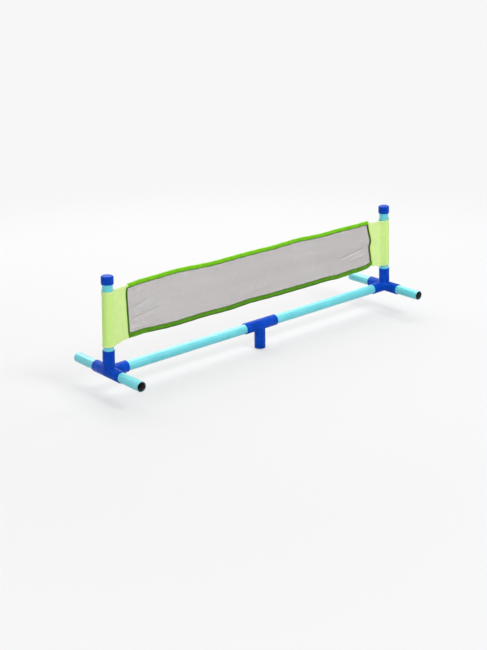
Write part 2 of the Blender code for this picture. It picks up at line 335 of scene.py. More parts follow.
# %% Blue plastic
def dress(finishes):
    """Gives every solid the finish of its kind, which is its name after left, right or centre."""
    kinds = {name: name.partition("_")[2] for name in solids}
    dressed = [name for name, kind in kinds.items() if kind in finishes]
    for name in dressed:
        solids[name].data.materials[0] = finishes[kinds[name]]
    return dressed


def blue_plastic(name, mouth):
    """mouth(x, y, z) gives the metres from the rim that wears. Wear is 1 at the rim and 0 from
    4.5 mm on, broken up by streaks."""
    finish = Finish(name)
    (x, y, z), spot = finish.place()
    cloud = finish.noise(spot, 55.0, 2.0)
    grain = finish.noise(spot, 2600.0, 2.0)
    streaks = finish.noise(spot, 260.0, 4.0, 0.7)
    worn = (1.0 - mouth(x, y, z).ramp(0.0005, 0.0045)) * streaks.ramp(0.50, 0.68)
    body = finish.blend(cloud.ramp(0.35, 0.65), dye(0, 66, 182), dye(0, 76, 200))
    colour = finish.blend(worn * 0.45, body, dye(50, 104, 216))
    finish.relief(grain * 0.6 + cloud * 0.4, 0.00006, 0.5)
    return finish.done(
        Base_Color=colour,
        Roughness=0.22 + cloud * 0.10 + streaks.ramp(0.58, 0.72) * 0.08 + worn * 0.20,
        Specular_IOR_Level=0.09,
    )


blue_pieces = dress({
    "connector": blue_plastic("connector_blue", lambda x, y, z: SOCKET_REACH - y.abs()),
    "tee": blue_plastic("tee_blue", lambda x, y, z: SOCKET_REACH - x.abs()),
    "cap": blue_plastic("cap_blue", lambda x, y, z: (z - CAP_RIM).abs()),
})
print("blue:", blue_pieces)

# %% [markdown]
# ## Painted tube
#
# The rails and posts are steel tube under aqua powder paint. Powder paint flows into a faint
# orange-peel skin with a soft gloss. The bore shows dull steel, and the shader finds it by
# measuring the distance from the tube's axis.


# %% Aqua paint over steel
BARE, PAINTED = 0.0093, 0.0096   # distances from the axis where the paint starts and is whole
DRAWN_OUT = 0.06                 # rub marks are long: their pattern is this slow along the tube


def painted_tube(name, across, turns):
    """across(x, y, z) gives the two distances from the tube's axis, whose root sum of squares is
    the radius there. turns is how fast the pattern of rub marks runs along x, y and z."""
    finish = Finish(name)
    (x, y, z), spot = finish.place()
    first, second = across(x, y, z)
    radius = (first * first + second * second) ** 0.5
    painted = radius.ramp(BARE, PAINTED)
    peel = finish.noise(spot, 900.0, 2.0)
    cloud = finish.noise(spot, 30.0, 2.0)
    rubs = finish.noise(spot, 500.0, 3.0, 0.6, stretch=turns)
    scratch = rubs.ramp(0.70, 0.74) * cloud.ramp(0.48, 0.62)
    paint = finish.blend(cloud.ramp(0.35, 0.65), dye(80, 209, 221), dye(90, 217, 229))
    paint = finish.blend(scratch * 0.35, paint, dye(176, 236, 242))
    steel = finish.blend(peel, dye(120, 122, 124), dye(158, 160, 161))
    finish.relief(peel, 0.00005, 0.6)
    return finish.done(
        Base_Color=finish.blend(painted, steel, paint),
        Metallic=(1.0 - painted) * 0.85,
        Roughness=0.38 + cloud * 0.08 + scratch * 0.1 + (1.0 - painted) * 0.05,
        Specular_IOR_Level=1.0,
        Coat_Weight=1.0,
        Coat_Roughness=0.30,
    )


SIN_LEAN, COS_LEAN = float(np.sin(POST_LEAN)), float(np.cos(POST_LEAN))
side_paint = painted_tube(
    "side_rail_paint", lambda x, y, z: (x.abs() - HALF_SPACING, z), (1.0, DRAWN_OUT, 1.0)
)
cross_paint = painted_tube("cross_rail_paint", lambda x, y, z: (y, z), (DRAWN_OUT, 1.0, 1.0))
post_paint = painted_tube(
    "post_paint", lambda x, y, z: ((x.abs() - HALF_SPACING) * COS_LEAN + z * SIN_LEAN, y),
    (1.0, 1.0, DRAWN_OUT),
)
tubes = dress({
    "front_rail": side_paint, "rear_rail": side_paint, "cross_rail": cross_paint, "post": post_paint
})
print("painted:", tubes)

# %% [markdown]
# ## Round pieces that look round
#
# The solid model's meshes are loose triangles, shaded flat. A short geometry-node modifier joins
# their corners and lets the shading run over every edge that is blunter than a limit. The mesh
# under it isn't touched.


# %% A modifier that joins corners and smooths blunt edges
SAME_CORNER = 0.000004   # corners closer than this are one


def smoothing_group(limit):
    """Merge by distance, then faces smooth, then edges smooth only where their angle is small."""
    group = bpy.data.node_groups.new("smooth_blunt_edges", "GeometryNodeTree")
    group.interface.new_socket("Geometry", in_out="INPUT", socket_type="NodeSocketGeometry")
    group.interface.new_socket("Geometry", in_out="OUTPUT", socket_type="NodeSocketGeometry")
    nodes, links = group.nodes, group.links
    start, end = nodes.new("NodeGroupInput"), nodes.new("NodeGroupOutput")
    merge = nodes.new("GeometryNodeMergeByDistance")
    merge.inputs["Distance"].default_value = SAME_CORNER
    faces, edges = (nodes.new("GeometryNodeSetShadeSmooth") for _ in range(2))
    faces.domain, edges.domain = "FACE", "EDGE"
    angle = nodes.new("GeometryNodeInputMeshEdgeAngle")
    blunt = nodes.new("FunctionNodeCompare")
    blunt.data_type, blunt.operation = "FLOAT", "LESS_THAN"
    blunt.inputs[1].default_value = limit
    links.new(start.outputs[0], merge.inputs["Geometry"])
    links.new(merge.outputs[0], faces.inputs["Geometry"])
    links.new(faces.outputs[0], edges.inputs["Geometry"])
    links.new(angle.outputs["Unsigned Angle"], blunt.inputs[0])
    links.new(blunt.outputs[0], edges.inputs["Shade Smooth"])
    links.new(edges.outputs[0], end.inputs[0])
    return group


smoothing = smoothing_group(np.radians(35.0))
for name in blue_pieces + tubes:
    solids[name].modifiers.new("smooth_blunt_edges", "NODES").node_group = smoothing
print("smoothed:", len(blue_pieces + tubes))

# %% [markdown]
# ## From arrays to meshes
#
# Every soft piece is first a numpy array of points. One function turns arrays into a mesh. The
# points of a grid give its faces, and a bundle of threads is a grid that closes on itself.


# %% Mesh helpers
def fill_mesh(name, points, faces, finish, cut=None):
    """points is (n, 3). faces is a list of (count, corners) index arrays. cut is (n, 2), the
    place of each point on the flat cut, for the weave."""
    corners = np.concatenate([group.ravel() for group in faces]).astype(np.int32)
    sizes = np.concatenate([np.full(len(group), group.shape[1]) for group in faces])
    mesh = bpy.data.meshes.new(name)
    mesh.vertices.add(len(points))
    mesh.vertices.foreach_set("co", np.ascontiguousarray(points, np.float32).ravel())
    mesh.loops.add(len(corners))
    mesh.loops.foreach_set("vertex_index", corners)
    mesh.polygons.add(len(sizes))
    mesh.polygons.foreach_set("loop_start", (np.cumsum(sizes) - sizes).astype(np.int32))
    if cut is not None:
        layer = mesh.uv_layers.new(name="cut")
        layer.data.foreach_set("uv", np.ascontiguousarray(cut[corners], np.float32).ravel())
    mesh.update(calc_edges=True)
    mesh.validate()
    mesh.shade_smooth()
    thing = bpy.data.objects.new(name, mesh)
    scene.collection.objects.link(thing)
    mesh.materials.append(finish)
    return thing


def grid_faces(rows, columns, flip=False):
    """Indices of the squares between neighbouring points of a rows x columns grid."""
    row, column = np.mgrid[0:rows - 1, 0:columns - 1]
    first = (row * columns + column).ravel()
    squares = np.stack([first, first + 1, first + columns + 1, first + columns], axis=1)
    return squares[:, ::-1] if flip else squares


def tube_faces(tubes, rings, sides):
    """Faces of many closed tubes at once. The points are numbered round each ring, then from ring
    to ring, then from tube to tube. Gives the walls, and the lids at both ends."""
    index = np.arange(tubes * rings * sides).reshape(tubes, rings, sides)
    here, after = index[:, :-1], index[:, 1:]
    walls = np.stack(
        [here, np.roll(here, -1, axis=2), np.roll(after, -1, axis=2), after], axis=-1
    )
    return [walls.reshape(-1, 4), np.concatenate([index[:, 0, ::-1], index[:, -1]])]


def thread_bundle(name, centres, first, second, radius, sides, finish, turn=0.0):
    """Round threads along many lines at once. centres is (threads, stations, 3), radius is one
    for all or one for each station, and the axes first and second are one pair for all or one for
    each thread. A ring of points is centre + radius (cos a first + sin a second), with first x
    second along the thread."""
    angle = 2 * np.pi * (np.arange(sides) + turn)[:, None] / sides
    first, second = (np.reshape(axis, (-1, 1, 1, 3)) for axis in (first, second))
    ring = np.cos(angle) * first + np.sin(angle) * second
    points = centres[:, :, None] + np.reshape(radius, (-1, 1, 1)) * ring
    return fill_mesh(name, points.reshape(-1, 3), tube_faces(*points.shape[:3]), finish)


def through(x, places, heights):
    """A smooth curve through a few measured points: a cubic between each two, whose slope at a
    point is that of the line between its neighbours."""
    places, heights = np.asarray(places, float), np.asarray(heights, float)
    slopes = np.gradient(heights, places)
    cell = np.clip(np.searchsorted(places, x) - 1, 0, len(places) - 2)
    width = places[cell + 1] - places[cell]
    share = np.clip((x - places[cell]) / width, 0.0, 1.0)
    rest = 1 - share
    return (
        heights[cell] * (1 + 2 * share) * rest**2
        + heights[cell + 1] * share**2 * (3 - 2 * share)
        + width * (slopes[cell] * share * rest**2 - slopes[cell + 1] * share**2 * rest)
    )


def step(value, low, high):
    """0 below low, 1 above high, smooth between."""
    share = np.clip((value - low) / (high - low), 0.0, 1.0)
    return share * share * (3 - 2 * share)


def add_piece(thing, slot, *nodes):
    """The piece rides on the net's body and stands for these solids."""
    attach(thing, "net")
    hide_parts(*nodes)
    return thing


print("half way up a step:", step(0.5, 0.0, 1.0))

# %% [markdown]
# ## The lines of the net
#
# Nothing on a hung net is quite straight. Its edges and the two seams where it meets the sleeves
# were read off the photograph at a few points, and a smooth curve is laid through them. All that
# is soft is placed with these few functions, so mesh, tapes and stitches wave together.


# %% Upper edge, lower edge, seams and slack
def upper_edge(x):
    """Height of the net's upper edge: the measured line and a fine ripple."""
    line = through(
        x, [-0.345, -0.322, -0.300, -0.250, -0.205, -0.160, -0.125, -0.060, 0.000, 0.040, 0.075,
            0.110, 0.150, 0.178, 0.215, 0.250, 0.285, 0.315, 0.345],
        [0.1570, 0.1598, 0.1616, 0.1628, 0.1636, 0.1620, 0.1608, 0.1609, 0.1609, 0.1599, 0.1609,
         0.1621, 0.1605, 0.1595, 0.1602, 0.1602, 0.1595, 0.1598, 0.1590],
    )
    return line + 0.00015 * np.sin(x * 210.0 + 1.0)


def lower_edge(x):
    """Height of the net's lower edge, made the same way."""
    line = through(
        x, [-0.345, -0.327, -0.297, -0.255, -0.225, -0.150, -0.075, -0.030, 0.020, 0.090, 0.150,
            0.195, 0.225, 0.270, 0.305, 0.322, 0.345],
        [0.0541, 0.0538, 0.0541, 0.0537, 0.0530, 0.0538, 0.0529, 0.0540, 0.0524, 0.0521, 0.0521,
         0.0529, 0.0510, 0.0516, 0.0523, 0.0543, 0.0600],
    )
    return line + 0.00015 * np.sin(x * 190.0)


SEAM_HEIGHTS = {
    "left": (
        [0.048, 0.060, 0.075, 0.098, 0.122, 0.142, 0.149, 0.157],
        [-0.3264, -0.3266, -0.3270, -0.3275, -0.3278, -0.3280, -0.3270, -0.3235],
    ),
    "right": (
        [0.048, 0.058, 0.067, 0.078, 0.092, 0.101, 0.108, 0.135, 0.152, 0.160],
        [0.3345, 0.3322, 0.3296, 0.3280, 0.3248, 0.3244, 0.3268, 0.3211, 0.3170, 0.3162],
    ),
}


def seam(side, z):
    """Where the sleeve's panel meets the mesh."""
    return through(z, *SEAM_HEIGHTS[side])


CREASES = (  # start x and z, end x and z, height, width
    (-0.322, 0.0870, -0.235, 0.0990, 0.0016, 0.0030),
    (-0.322, 0.1060, -0.250, 0.1270, 0.0014, 0.0034),
    (-0.322, 0.0720, -0.262, 0.0700, -0.0014, 0.0030),
    (-0.318, 0.1350, -0.268, 0.1500, -0.0012, 0.0032),
    (-0.180, 0.1420, -0.080, 0.1200, 0.0010, 0.0045),
    (-0.060, 0.0700, 0.060, 0.0860, -0.0010, 0.0045),
    (0.120, 0.1300, 0.210, 0.1180, 0.0011, 0.0040),
    (0.232, 0.0900, 0.322, 0.1010, 0.0018, 0.0020),
    (0.250, 0.0790, 0.322, 0.0860, -0.0013, 0.0026),
    (0.262, 0.1250, 0.320, 0.1180, 0.0012, 0.0030),
)


def slack(x, z):
    """How far the cloth stands out of its plane: long lazy waves and a few creases. A crease is a
    ridge exp(-(d / width)^2), with d the distance from its line, and fades at both ends."""
    inside = step(x, -0.327, -0.300) * (1 - step(x, 0.295, 0.322))
    depth = inside * (0.0011 * np.sin(x * 21.0 + 0.6) + 0.0006 * np.sin(x * 47.0 + z * 30.0))
    for x0, z0, x1, z1, height, width in CREASES:
        length = np.hypot(x1 - x0, z1 - z0)
        along = ((x - x0) * (x1 - x0) + (z - z0) * (z1 - z0)) / length**2
        off = ((x - x0) * (z1 - z0) - (z - z0) * (x1 - x0)) / length
        fade = step(along, 0.0, 0.15) * (1 - step(along, 0.55, 1.0))
        depth = depth + height * np.exp(-((off / width) ** 2)) * fade
    return depth


print("net height at the middle:", round(upper_edge(0.0) - lower_edge(0.0), 4))

# %% [markdown]
# ## Net mesh
#
# The net is a fine charcoal mesh, so open that the ground shows through. It could be one flat
# sheet with a see-through pattern, but then it has no threads when the eye comes near, and the
# pattern blurs in an export. Here every thread is a real one, and uprights and rows pass over
# and under each other. Three-sided threads keep the count low.


# %% Charcoal thread
def charcoal_thread():
    """Dull, uneven polyester with a fuzz far finer than the thread."""
    finish = Finish("charcoal_thread")
    _, spot = finish.place()
    cloud = finish.noise(spot, 40.0, 2.0)
    fuzz = finish.noise(spot, 4000.0, 2.0)
    colour = finish.blend(cloud.ramp(0.3, 0.7), dye(103, 77, 76), dye(119, 91, 90))
    finish.relief(fuzz, 0.00004, 0.5)
    return finish.done(Base_Color=colour, Roughness=0.75 + fuzz * 0.2, Specular_IOR_Level=0.3)


thread_black = charcoal_thread()
PITCH, THREAD = 0.0016, 0.000242     # from thread to thread, and a thread's radius
MESH_RUN, MESH_RISE = 0.648, 0.105   # between the seams, and between the tapes' folds
UNDER_TAPE = 0.0019                  # the mesh ends this far inside a tape's fold
UNDER_BINDING = 0.0009
print("threads to the metre:", round(1 / PITCH))


# %% Weave the mesh
def net_point(along, up):
    """along runs from seam to seam and up from the lower edge to the upper, both 0 to 1. The
    height comes from the edges at that place, and then the seams at that height give x."""
    x = -MESH_RUN / 2 + MESH_RUN * along
    low, high = lower_edge(x) + UNDER_TAPE, upper_edge(x) - UNDER_TAPE
    z = low + (high - low) * up
    left, right = seam("left", z) + UNDER_BINDING, seam("right", z) - UNDER_BINDING
    x = left + (right - left) * along
    return x, z


def weave_net():
    """Thread i of the uprights crosses row j. The sign of (-1)^(i + j) says which is in front."""
    uprights, rows = round(MESH_RUN / PITCH) + 1, round(MESH_RISE / PITCH) + 1
    number, level = np.meshgrid(np.arange(uprights), np.arange(rows), indexing="ij")
    x, z = net_point(number / (uprights - 1), level / (rows - 1))
    over = np.where((number + level) % 2 == 0, 1.0, -1.0) * THREAD * 0.55
    y = slack(x, z)
    warp = np.stack([x, y - over, z], axis=-1)
    weft = np.stack([x, y + over, z], axis=-1).transpose(1, 0, 2)
    first = thread_bundle("net_uprights", warp, (1, 0, 0), (0, 1, 0), THREAD, 3, thread_black)
    second = thread_bundle("net_rows", weft, (0, 1, 0), (0, 0, 1), THREAD, 3, thread_black)
    return first, second


net_uprights, net_rows = weave_net()
add_piece(net_uprights, "net_mesh", "net_mesh")
add_piece(net_rows, "net_mesh", "net_mesh")
print("rings of thread:", *(len(bundle.data.vertices) // 3 for bundle in (net_uprights, net_rows)))

# %% [markdown]
# ## Woven tapes
#
# A bright green tape is folded over the upper edge and a darker one over the lower edge, each
# sewn with one row of stitches. Under the bright tape a thin dark green binding peeps out. The
# weave is a fine rib across the tape. The pattern follows the cut of the tape, whose flat
# coordinates travel with every point.


# %% Ribbed tape cloth
YARN = 0.00045   # width of one yarn of the tapes' weave


def ribbed_tape(
    name, light, dark, rib=0.0007, fold=dye(60, 104, 16), reach=0.0, span=(-1.0, 1.0)
):
    """The cut's second number is 0 on the fold. The fold colour is painted light there, a painted
    highlight where it is lighter than the tape and painted shade where it is darker. It reaches
    that far to both sides of the fold, between the two ends of the span along the tape."""
    finish = Finish(name)
    (along, up), _ = finish.cut()
    _, spot = finish.place()
    ribs = ((along + up * 0.25) * (2 * np.pi / rib)).sine() * 0.5 + 0.5
    yarn = (up * (2 * np.pi / YARN)).sine() * 0.5 + 0.5
    cloud = finish.noise(spot, 70.0, 3.0)
    fuzz = finish.noise(spot, 3000.0, 2.0)
    shade = cloud.ramp(0.3, 0.7) * 0.55 + ribs * 0.25 + fuzz * 0.20
    # painted light along the fold: a painted highlight when the fold colour is lighter than the
    # tape, painted shade when it is darker
    painted_fold_band = (1.0 - up.abs().ramp(reach * 0.8, reach + 0.0001)) * 0.9
    painted_fold_band = painted_fold_band * (along.ramp(span[0], span[0] + 0.03) - along.ramp(span[1] - 0.03, span[1]))
    finish.relief(ribs * 0.6 + yarn * 0.3 + fuzz * 0.3, 0.00010, 0.7)
    return finish.done(
        Base_Color=finish.blend(painted_fold_band, finish.blend(shade, dark, light), fold),
        Roughness=0.70 + fuzz * 0.2,
        Specular_IOR_Level=0.15,
        Sheen_Weight=0.06,
        Sheen_Roughness=0.5,
    )


# fold=dye(166, 226, 84) is a painted highlight on the upper fold, where light from above catches it
bright_tape = ribbed_tape(
    "bright_green_tape", dye(136, 212, 34), dye(108, 194, 14), fold=dye(166, 226, 84), reach=0.0016
)
# fold=dye(46, 82, 18) is painted shade on the underside of the lower fold, only between the two
# ends of span
deep_tape = ribbed_tape(
    "deep_green_tape", dye(100, 162, 34), dye(74, 136, 14), fold=dye(46, 82, 18), reach=0.0034,
    span=(-0.290, 0.235),
)
dark_binding = ribbed_tape("dark_green_binding", dye(84, 130, 34), dye(52, 98, 14), rib=0.0006)
print("tape finishes:", bright_tape.name, deep_tape.name, dark_binding.name)


# %% Thread for the seams
TWIST = 0.0006   # length of one turn of the thread


def sewing_thread(name, colour, shade):
    """Light and shade take turns along the thread, as its strands do."""
    finish = Finish(name)
    (x, y, z), _ = finish.place()
    twist = ((x + y + z) * (2 * np.pi / TWIST)).sine() * 0.5 + 0.5
    finish.relief(twist, 0.00005, 0.6)
    return finish.done(
        Base_Color=finish.blend(twist, shade, colour), Roughness=0.55, Specular_IOR_Level=0.4
    )


green_thread = sewing_thread("green_thread", dye(84, 160, 26), dye(50, 112, 12))
deep_thread = sewing_thread("deep_thread", dye(52, 104, 18), dye(30, 70, 10))
lime_thread = sewing_thread("lime_thread", dye(216, 240, 160), dye(168, 206, 104))
print("threads:", green_thread.name, deep_thread.name, lime_thread.name)

# %% [markdown]
# ## Folding a tape over an edge
#
# In section a folded tape is a U: a half circle over the edge, then one leg down each face. The
# place across the tape is an arc length from the fold, so the flat tape keeps its width. Sewing
# pulls the cloth in a little at each stitch: that pucker is a ripple that grows towards the hems.


# %% Folded tapes
TAPE_GAP = 0.00105    # from the middle of the net to the middle of a tape's leg
TAPE_WALL = 0.00042
STATION = 0.00073     # spacing of the grid's points along a tape
PUCKER_OUT, PUCKER_UP = 0.00016, 0.00018


def thicken(thing, wall):
    """Gives the surface its cloth thickness, half to either side, with a closed rim."""
    shell = thing.modifiers.new("cloth", "SOLIDIFY")
    shell.thickness, shell.offset, shell.use_even_offset = wall, 0.0, True
    return thing


def folded_tape(name, edge, inward, half_gap, width, wall, finish, span, pucker=1.0):
    """edge(x) is the height of the fold. inward is -1 when the tape hangs from the upper edge and
    +1 when it stands on the lower one. Across the tape, c runs over plus or minus the width:
    within the fold y = half_gap sin(c / half_gap), and beyond it y = half_gap to either side."""
    along = np.linspace(*span, max(round((span[1] - span[0]) / STATION), 24))
    turn = half_gap * np.pi / 2
    reach = width - half_gap + turn
    leg = np.linspace(turn, reach, 9)[1:]
    across = np.concatenate([-leg[::-1], np.linspace(-turn, turn, 9), leg])
    x, c = np.meshgrid(along, across, indexing="ij")
    beyond = np.maximum(np.abs(c) - turn, 0.0)
    bend = np.clip(c / half_gap, -np.pi / 2, np.pi / 2)
    depth = half_gap * (1 - np.cos(bend)) + beyond
    hem = step(depth, width * 0.55, width)
    ripple = np.sin(x * 830.0 + 0.8 * np.sin(x * 57.0)) * 0.6 + 0.4 * np.sin(x * 1340.0 + 1.3)
    slow = 0.6 + 0.4 * np.sin(x * 33.0 + 1.0)
    y = half_gap * np.sin(bend) + np.sign(c) * pucker * PUCKER_OUT * hem * ripple * slow
    z = edge(x) + inward * (depth + pucker * PUCKER_UP * hem * ripple * slow)
    y = y + slack(x, z)
    points = np.stack([x, y, z], axis=-1).reshape(-1, 3)
    cut = np.stack([x, c], axis=-1).reshape(-1, 2)
    faces = [grid_faces(*x.shape, flip=inward > 0)]
    return thicken(fill_mesh(name, points, faces, finish, cut), wall)


def hanging_edge(x):
    """The lower tape is the wider one, and between its ends its fold hangs below the mesh."""
    return lower_edge(x) - 0.0024 * step(x, -0.300, -0.240) * (1 - step(x, 0.315, 0.331))


top_tape = folded_tape(
    "top_tape_cloth", upper_edge, -1, TAPE_GAP, width=0.0076, wall=TAPE_WALL, finish=bright_tape,
    span=(-0.3226, 0.3165),
)
top_binding = folded_tape(
    "top_binding_cloth", lambda x: upper_edge(x) - 0.0006, -1, 0.00056, width=0.0084,
    wall=0.00026, finish=dark_binding, span=(-0.3222, 0.3160), pucker=0.0,
)
bottom_tape = folded_tape(
    "bottom_tape_cloth", hanging_edge, 1, TAPE_GAP, width=0.0096, wall=TAPE_WALL,
    finish=deep_tape, span=(-0.3262, 0.3325),
)
add_piece(top_tape, "green_tape", "top_tape")
add_piece(top_binding, "binding_tape", "top_tape")
add_piece(bottom_tape, "dark_green_tape", "bottom_tape")
print("top tape runs", round(top_tape.dimensions.x, 4), "m")


# %% Stitches
def stitch_row(name, spots, directions, outward, length, radius, finish):
    """Short plump threads: four rings each, thin where they dive into the cloth. spots is (n, 3),
    and outward says which way they stand off the cloth in the middle."""
    share = np.array([-0.5, -0.28, 0.28, 0.5])[:, None]
    lift = np.array([-0.5, 0.75, 0.75, -0.5])[:, None]
    thick = np.array([0.55, 1.0, 1.0, 0.55])
    along, out = directions[:, None], outward[:, None]
    centres = spots[:, None] + share * length * along + lift * radius * out
    across = -np.cross(outward, directions)
    return thread_bundle(name, centres, outward, across, radius * thick, 5, finish, turn=0.5)


def both_faces(x, z, stand_off):
    """The same places on the front and rear of the net, and which way is outward there."""
    face = np.repeat([-1.0, 1.0], len(x))
    x, z = np.tile(x, 2), np.tile(z, 2)
    spots = np.stack([x, slack(x, z) + face * stand_off, z], axis=-1)
    return spots, face[:, None] * np.array([0.0, 1.0, 0.0])


def tape_stitches(name, edge, inward, depth, finish, span):
    """A row of stitches along both faces of a folded tape, 3 mm from one to the next."""
    x = np.arange(*span, 0.0030)
    on_top = TAPE_GAP + TAPE_WALL / 2 + 0.00004
    spots, outward = both_faces(x, edge(x) + inward * depth, on_top)
    ahead = np.broadcast_to((1.0, 0.0, 0.0), spots.shape)
    return stitch_row(name, spots, ahead, outward, 0.0024, 0.00017, finish)


top_stitches = tape_stitches(
    "top_tape_stitches", upper_edge, -1, 0.0062, green_thread, span=(-0.3205, 0.3150)
)
bottom_stitches = tape_stitches(
    "bottom_tape_stitches", hanging_edge, 1, 0.0080, deep_thread, span=(-0.3240, 0.3300)
)
add_piece(top_stitches, "green_tape", "top_tape")
add_piece(bottom_stitches, "dark_green_tape", "bottom_tape")
print("stitches on the upper tape:", len(top_stitches.data.vertices) // 20)

# %% [markdown]
# ## Upright bindings
#
# Where the mesh meets the sleeve's panel, a narrow dark green tape covers the join on both faces.
# The one on the right is pulled out of line by the net, and the photograph shows its wave.


# %% Bindings on the two upright edges
BINDING_HALF = 0.0019   # half the width of a strip
INWARD = {"left": 1.0, "right": -1.0}


def upright_binding(side):
    """Two strips, one on each face. Along the seam z runs from the lower tape to the upper one,
    and across it c runs over the join. The strip crowns a little: y grows as 1 - c^2."""
    middle = seam(side, 0.1)
    low, high = lower_edge(middle) + 0.0068, upper_edge(middle) - 0.0066
    z, c = np.meshgrid(np.linspace(low, high, 120), np.linspace(-1.0, 1.0, 7), indexing="ij")
    wave = 0.00012 * np.sin(z * 900.0) * (c > 0)
    x = seam(side, z) + INWARD[side] * 0.0010 + c * BINDING_HALF + wave
    cut = np.stack([c * BINDING_HALF, z], axis=-1).reshape(-1, 2)
    layers, faces = [], []
    for number, face in enumerate((-1.0, 1.0)):
        y = face * (0.00088 + 0.00012 * (1 - c * c)) + slack(x, z)
        layers.append(np.stack([x, y, z], axis=-1).reshape(-1, 3))
        faces.append(grid_faces(*z.shape, flip=face > 0) + number * z.size)
    name, points = f"{side}_binding_cloth", np.concatenate(layers)
    thing = fill_mesh(name, points, faces, dark_binding, np.concatenate([cut, cut]))
    return thicken(thing, 0.00036)


def binding_stitches(side):
    """One row down the middle of each strip."""
    middle = seam(side, 0.1)
    z = np.arange(lower_edge(middle) + 0.0090, upper_edge(middle) - 0.0085, 0.0029)
    x = seam(side, z) + INWARD[side] * 0.0013
    ahead = np.stack([np.gradient(x, z), np.zeros_like(z), np.ones_like(z)], axis=-1)
    ahead /= np.linalg.norm(ahead, axis=1, keepdims=True)
    spots, outward = both_faces(x, z, 0.00120)
    name, ahead = f"{side}_binding_stitches", np.tile(ahead, (2, 1))
    return stitch_row(name, spots, ahead, outward, 0.0023, 0.00015, green_thread)


bindings = []
for side in SIDES:
    pieces = upright_binding(side), binding_stitches(side)
    bindings += [add_piece(piece, "binding_tape", f"{side}_edge_binding") for piece in pieces]
print("bindings:", [piece.name for piece in bindings])

# %% [markdown]
# ## Lime sleeves
#
# Each end of the net is a pale lime cloth that goes round the post and comes back on itself, so
# its two layers lie together as a flat panel and the post sits in a tunnel. The cloth is a plain
# weave of polyester. Its colour holds painted light: painted shade where it lies over the tube,
# lighter where it hangs clear of the tube, and brightest along the turned-in hems. It creases
# softly where it leaves the tube.


# %% Lime cloth
WARP, WEFT = 0.00050, 0.00055   # pitch of the threads along the cut and up it


def lime_cloth():
    """Warp times weft is a chequer of highs and lows, which is what a plain weave looks like. On
    the cut, 0 is opposite the net, the tube side ends near 18 mm and the seam is near 63 mm."""
    finish = Finish("lime_cloth_weave")
    (along, up), cut = finish.cut()
    _, spot = finish.place()
    warp = (along * (2 * np.pi / WARP)).sine()
    weft = (up * (2 * np.pi / WEFT)).sine()
    weave = warp * weft * 0.5 + 0.5
    cloud = finish.noise(spot, 90.0, 3.0)
    slubs = finish.noise(cut, 600.0, 2.0, 0.5, stretch=(0.08, 1.0, 1.0))
    # painted shade: the cloth is painted darker where it lies over the tube and lighter where it
    # hangs clear of it
    over_tube_shade = 1.0 - along.abs().ramp(0.018, 0.034)
    upper_hem = up.ramp(SLEEVE_TOP - 0.0050, SLEEVE_TOP - 0.0040)
    lower_hem = 1.0 - up.ramp(SLEEVE_BASE + 0.0040, SLEEVE_BASE + 0.0050)
    # painted light: the double cloth of the hems is painted lighter
    hem = (upper_hem + lower_hem) * 0.8
    selvedge = along.abs().ramp(0.0622, 0.0630)
    body = finish.blend(over_tube_shade, dye(226, 252, 164), dye(213, 251, 145))
    for share, colour in (
        (cloud.ramp(0.35, 0.70) * 0.4, dye(214, 242, 152)), (hem * 0.55, dye(234, 252, 180)),
        (selvedge * 0.8, dye(224, 254, 148)),
        ((1.0 - slubs.ramp(0.35, 0.6)) * 0.12, dye(196, 230, 124)),
    ):
        body = finish.blend(share, body, colour)
    finish.relief(weave * 0.8 + slubs * 0.3, 0.00011, 0.6)
    return finish.done(
        Base_Color=body,
        Roughness=0.72 + weave * 0.12,
        Specular_IOR_Level=0.2,
        Sheen_Weight=0.10,
        Sheen_Roughness=0.45,
    )


lime_weave = lime_cloth()
print("cloth finish:", lime_weave.name)


# %% The section of a sleeve
CLOTH_WALL = 0.00042
ROUND_POST = TUBE_RADIUS + 0.00062   # middle of the cloth round the post
MEET = 0.0140                        # from the post's axis to where the layers come together
LAYER = 0.00034                      # half the space between the middles of the two layers


def sleeve_section(length, count=150):
    """The cloth in plan with the post at 0, 0 and the net towards +u, as the distance s along the
    cloth from the point opposite the net. It goes round an arc, leaves it along the tangent that
    reaches (MEET, LAYER), and runs on flat. Gives s, u and v for half of the cloth."""
    away = np.hypot(MEET, LAYER)
    touch = np.arctan2(LAYER, MEET) + np.arccos(ROUND_POST / away)
    arc = ROUND_POST * (np.pi - touch)
    leave = ROUND_POST * np.array([np.cos(touch), np.sin(touch)])
    straight = np.hypot(MEET - leave[0], LAYER - leave[1])
    s = np.linspace(0.0, arc + straight + (length - MEET), count)
    angle = np.pi - np.clip(s, 0, arc) / ROUND_POST
    share = np.clip((s - arc) / straight, 0.0, 1.0)
    u = np.where(s < arc, ROUND_POST * np.cos(angle), leave[0] + share * (MEET - leave[0]))
    v = np.where(s < arc, ROUND_POST * np.sin(angle), leave[1] + share * (LAYER - leave[1]))
    u = u + np.maximum(s - arc - straight, 0.0)
    blur = np.ones(9) / 9.0
    smooth_v = np.convolve(np.pad(v, 4, mode="edge"), blur, mode="valid")
    near = step(s, arc * 0.9, arc * 1.15)
    return s, u, v * (1 - near) + smooth_v * near


print("cut of a sleeve:", round(2 * sleeve_section(PANEL_LENGTH)[0][-1], 4), "m")


# %% The edges and the folds of a sleeve
SAG = {"left": (0.0008, -0.0010), "right": (0.0042, -0.0024)}   # by the post, then by the seam


def sleeve_edges(side, s, u):
    """Heights of both edges along the section. The lower edge droops beside the post and climbs
    towards the net. The upper one sags, more on the right."""
    climb = np.clip((u - 0.0100) / 0.0350, 0.0, 1.0)
    droop = 0.0026 * step(u, 0.0116, 0.0138) * (1 - step(u, 0.0138, 0.0360))
    low = SLEEVE_BASE + 0.0005 + 0.0038 * climb - droop + 0.00012 * np.sin(s * 300.0)
    by_post, by_seam = SAG[side]
    high = SLEEVE_TOP - by_post * step(u, -0.012, MEET) - by_seam * step(u, MEET, PANEL_LENGTH)
    return low, high - 0.0010 * climb + 0.00020 * np.sin(s * 240.0 + 1.0)


